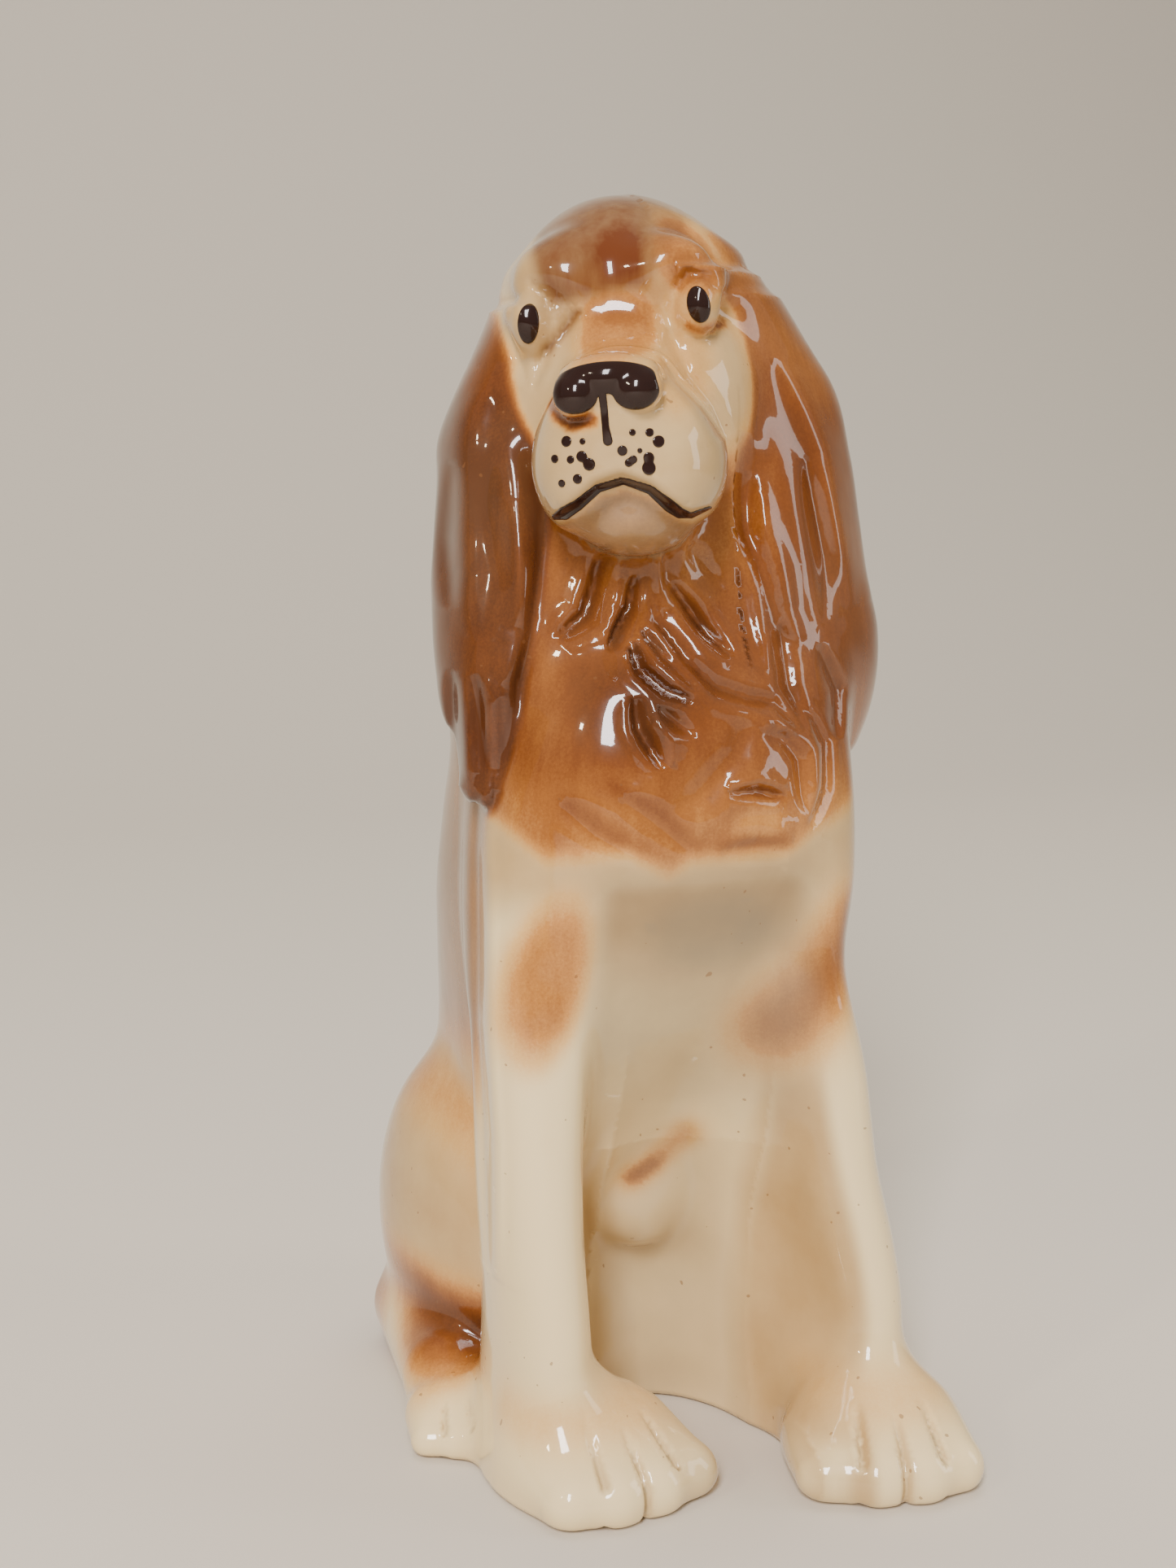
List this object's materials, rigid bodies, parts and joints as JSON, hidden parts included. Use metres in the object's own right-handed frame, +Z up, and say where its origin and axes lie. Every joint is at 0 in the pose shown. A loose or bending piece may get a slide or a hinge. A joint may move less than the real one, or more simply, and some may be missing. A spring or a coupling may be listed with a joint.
{
  "type": "ceramic dog figurine",
  "caption": "Seated long-eared spaniel figurine in glazed ceramic, head turned to its right, with ginger ears and chest on a cream body.",
  "frame": {"origin": "centre of the bounding box on the table, between the paws and the rump", "axes": "+Z up, the body faces -Y, +X is the dog's left"},
  "size_m": [0.0996, 0.1325, 0.24],
  "materials": {
    "cream_glaze": "gloss clear glaze over ivory and ginger underglaze colour",
    "head_glaze": "gloss clear glaze, rust brown crown fading to cream cheeks",
    "ginger_glaze": "gloss clear glaze over ginger brown underglaze colour",
    "leg_glaze": "gloss clear glaze, cream with tan in the creases",
    "haunch_glaze": "gloss clear glaze, cream with a tan rim",
    "tail_glaze": "gloss clear glaze over ginger brown",
    "dark_enamel": "glossy dark brown fired enamel"
  },
  "bodies": {
    "root": {"body_shell": "cream_glaze", "head_shell": "head_glaze", "left_ear": "ginger_glaze", "right_ear": "ginger_glaze", "left_foreleg": "leg_glaze", "right_foreleg": "leg_glaze", "left_hind_leg": "haunch_glaze", "right_hind_leg": "haunch_glaze", "tail": "tail_glaze", "left_eye": "dark_enamel", "right_eye": "dark_enamel", "nose": "dark_enamel", "philtrum_line": "dark_enamel", "mouth_line": "dark_enamel", "left_whisker_dots": "dark_enamel", "right_whisker_dots": "dark_enamel"}
  },
  "joints": []
}
